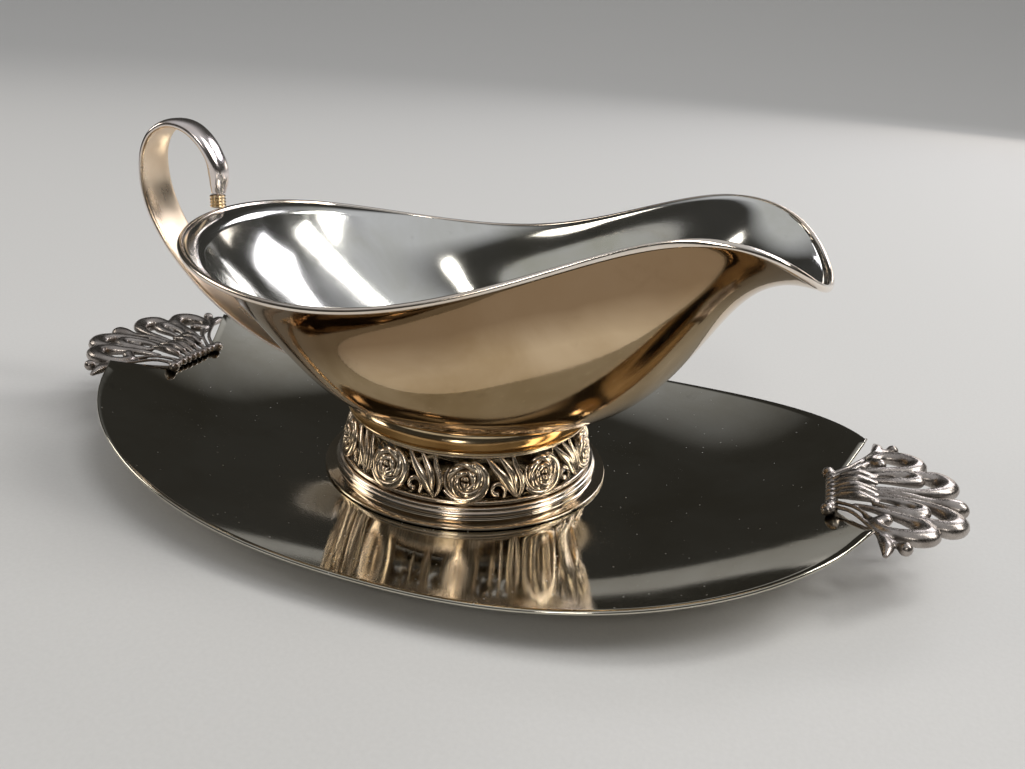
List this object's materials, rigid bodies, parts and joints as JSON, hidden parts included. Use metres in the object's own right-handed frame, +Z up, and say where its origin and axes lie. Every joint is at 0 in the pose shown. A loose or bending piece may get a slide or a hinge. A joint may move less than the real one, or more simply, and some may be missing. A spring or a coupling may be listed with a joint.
{
  "type": "sauce boat",
  "caption": "Silver sauce boat with a high loop handle and flared pouring lip on a pierced foot, fixed to an oval dished underplate with cast scroll handles.",
  "frame": {"origin": "centre of the underplate, on the table it stands on", "axes": "+X towards the pouring lip, +Z up, and the object is symmetric across the XZ plane"},
  "size_m": [0.2728, 0.1598, 0.0932],
  "materials": {
    "polished_silver": "polished silver plate with a warm light tarnish",
    "plate_silver": "polished silver plate with fine scratches and dust",
    "gilt_silver": "silver plate worn and tarnished to a golden tone",
    "oxidised_silver": "cast silver plate, bright on top with dark oxidised recesses",
    "dull_brass": "dull unplated brass"
  },
  "bodies": {
    "root": {"underplate": "plate_silver", "plate_handle_right": "oxidised_silver", "plate_handle_left": "oxidised_silver", "foot_skirt": "polished_silver", "foot_base_ring": "polished_silver", "foot_gallery": "gilt_silver", "foot_collar": "gilt_silver", "bowl_body": "polished_silver", "bowl_rim_wire": "polished_silver", "handle_strap": "polished_silver", "handle_ferrule": "gilt_silver", "fixing_stud": "dull_brass", "fixing_washer": "dull_brass", "fixing_nut": "dull_brass"}
  },
  "joints": []
}
